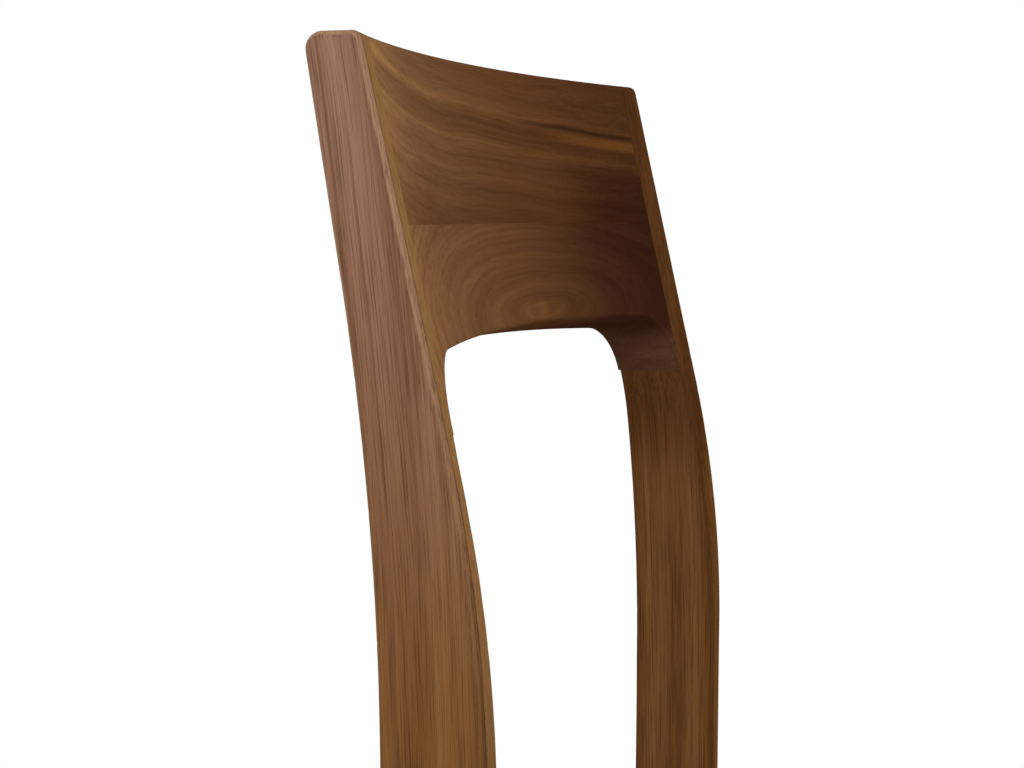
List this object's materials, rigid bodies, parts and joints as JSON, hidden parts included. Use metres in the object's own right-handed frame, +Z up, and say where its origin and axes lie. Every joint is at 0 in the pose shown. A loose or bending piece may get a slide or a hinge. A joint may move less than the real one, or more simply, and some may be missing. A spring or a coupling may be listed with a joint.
{
  "type": "dining chair",
  "caption": "Dining chair with curved wooden back posts, a bowed two-board backrest over an open arch and an upholstered seat pad on a railed frame",
  "frame": {"origin": "on the floor, under the middle of the chair's outline", "axes": "+Z is up, -Y is the way the sitter faces, +X is the sitter's left"},
  "size_m": [0.4666, 0.5526, 0.9],
  "materials": {
    "post_wood": "oiled walnut, straight grain along the leg, satin",
    "upper_board_wood": "oiled walnut, dark heartwood with long streaks, satin",
    "lower_board_wood": "oiled walnut, cathedral grain, satin",
    "rail_wood": "oiled walnut, straight grain along the rail, satin",
    "block_wood": "plain beech, sawn and planed",
    "dowel_wood": "plain beech",
    "plywood": "birch plywood",
    "foam": "open-cell seat foam, matte",
    "cover_fabric": "woven oatmeal upholstery cloth, matte",
    "dust_fabric": "black non-woven dust cloth, matte",
    "screw_steel": "zinc-plated steel",
    "glide_nylon": "dark brown nylon"
  },
  "bodies": {
    "root": {"rear_leg_left": "post_wood", "rear_leg_right": "post_wood", "front_leg_left": "post_wood", "front_leg_right": "post_wood", "backrest_upper_board": "upper_board_wood", "backrest_lower_board": "lower_board_wood", "backrest_dowels_left": "dowel_wood", "backrest_dowels_right": "dowel_wood", "board_dowels": "dowel_wood", "front_rail": "rail_wood", "rear_rail": "rail_wood", "side_rail_left": "rail_wood", "side_rail_right": "rail_wood", "corner_block_front_left": "block_wood", "corner_block_front_right": "block_wood", "corner_block_rear_left": "block_wood", "corner_block_rear_right": "block_wood", "corner_block_screws": "screw_steel", "seat_screws": "screw_steel", "seat_board": "plywood", "seat_foam": "foam", "seat_cover": "cover_fabric", "dust_cover": "dust_fabric", "cover_staples": "screw_steel", "floor_glide_front_left": "glide_nylon", "floor_glide_front_right": "glide_nylon", "floor_glide_rear_left": "glide_nylon", "floor_glide_rear_right": "glide_nylon", "glide_nails": "screw_steel"}
  },
  "joints": []
}
